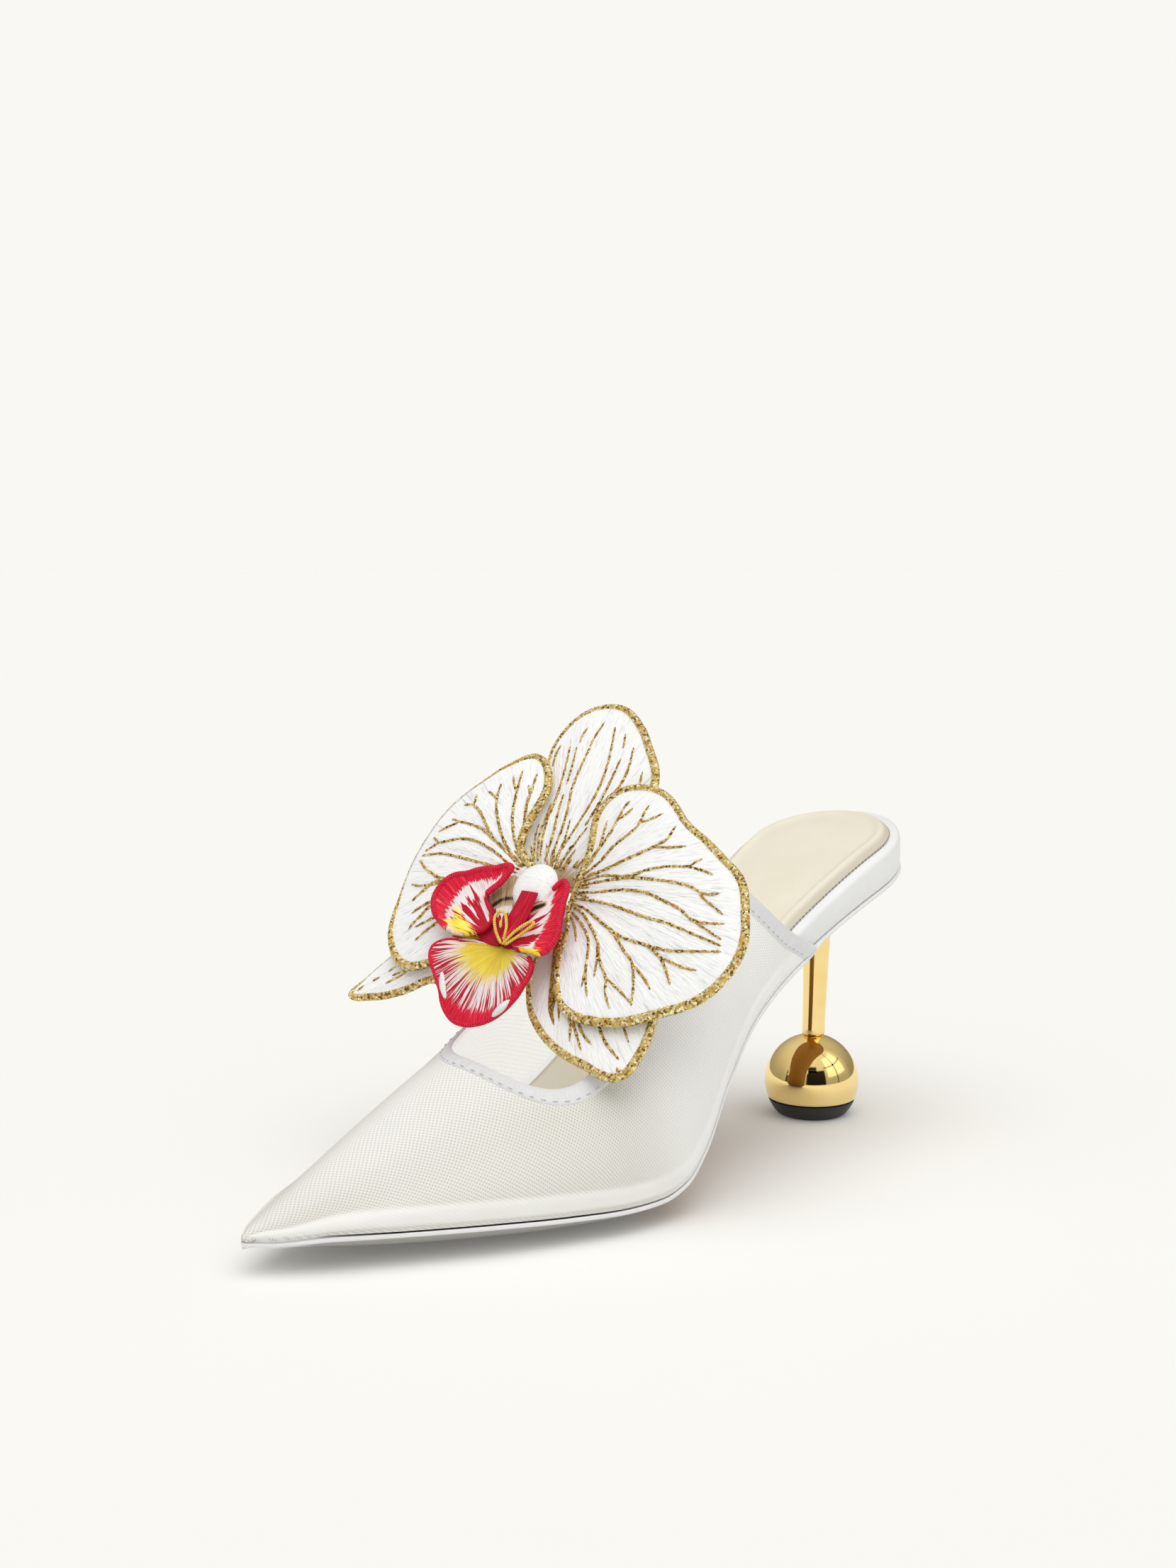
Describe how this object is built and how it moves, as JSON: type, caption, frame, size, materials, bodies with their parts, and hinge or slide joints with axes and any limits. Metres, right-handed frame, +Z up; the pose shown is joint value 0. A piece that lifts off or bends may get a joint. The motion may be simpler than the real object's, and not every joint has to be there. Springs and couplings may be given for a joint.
{
  "type": "heeled mule",
  "caption": "Left pointed-toe heeled mule with a sheer net upper, open throat, wrapped footbed, ball heel and an embroidered orchid on the instep.",
  "frame": {"origin": "centre of the heel tip's floor face", "axes": "+X from the heel to the toe, +Y to the wearer's left, which is the outer side of this left shoe, +Z up"},
  "size_m": [0.2365, 0.1159, 0.1296],
  "materials": {
    "white_outsole": "satin white",
    "white_leather": "smooth white",
    "beige_lining": "smooth beige",
    "white_net": "fine open net",
    "white_tape": "satin tape",
    "polished_gold": "mirror polished gold plating",
    "black_rubber": "matte black",
    "white_silk": "satin stitch with gold cord",
    "red_silk": "satin stitch in crimson, white and yellow"
  },
  "bodies": {
    "root": {"outsole": "white_outsole", "footbed": "white_leather", "insole": "beige_lining", "upper": "white_net", "throat_binding": "white_tape", "topline_binding": "white_tape", "heel_stem": "polished_gold", "heel_ball": "polished_gold", "heel_tip": "black_rubber", "sepal_top": "white_silk", "sepal_inner": "white_silk", "sepal_outer": "white_silk", "petal_inner": "white_silk", "petal_outer": "white_silk", "lip_mid": "red_silk", "lip_inner": "red_silk", "lip_outer": "red_silk", "column": "white_silk"}
  },
  "joints": []
}
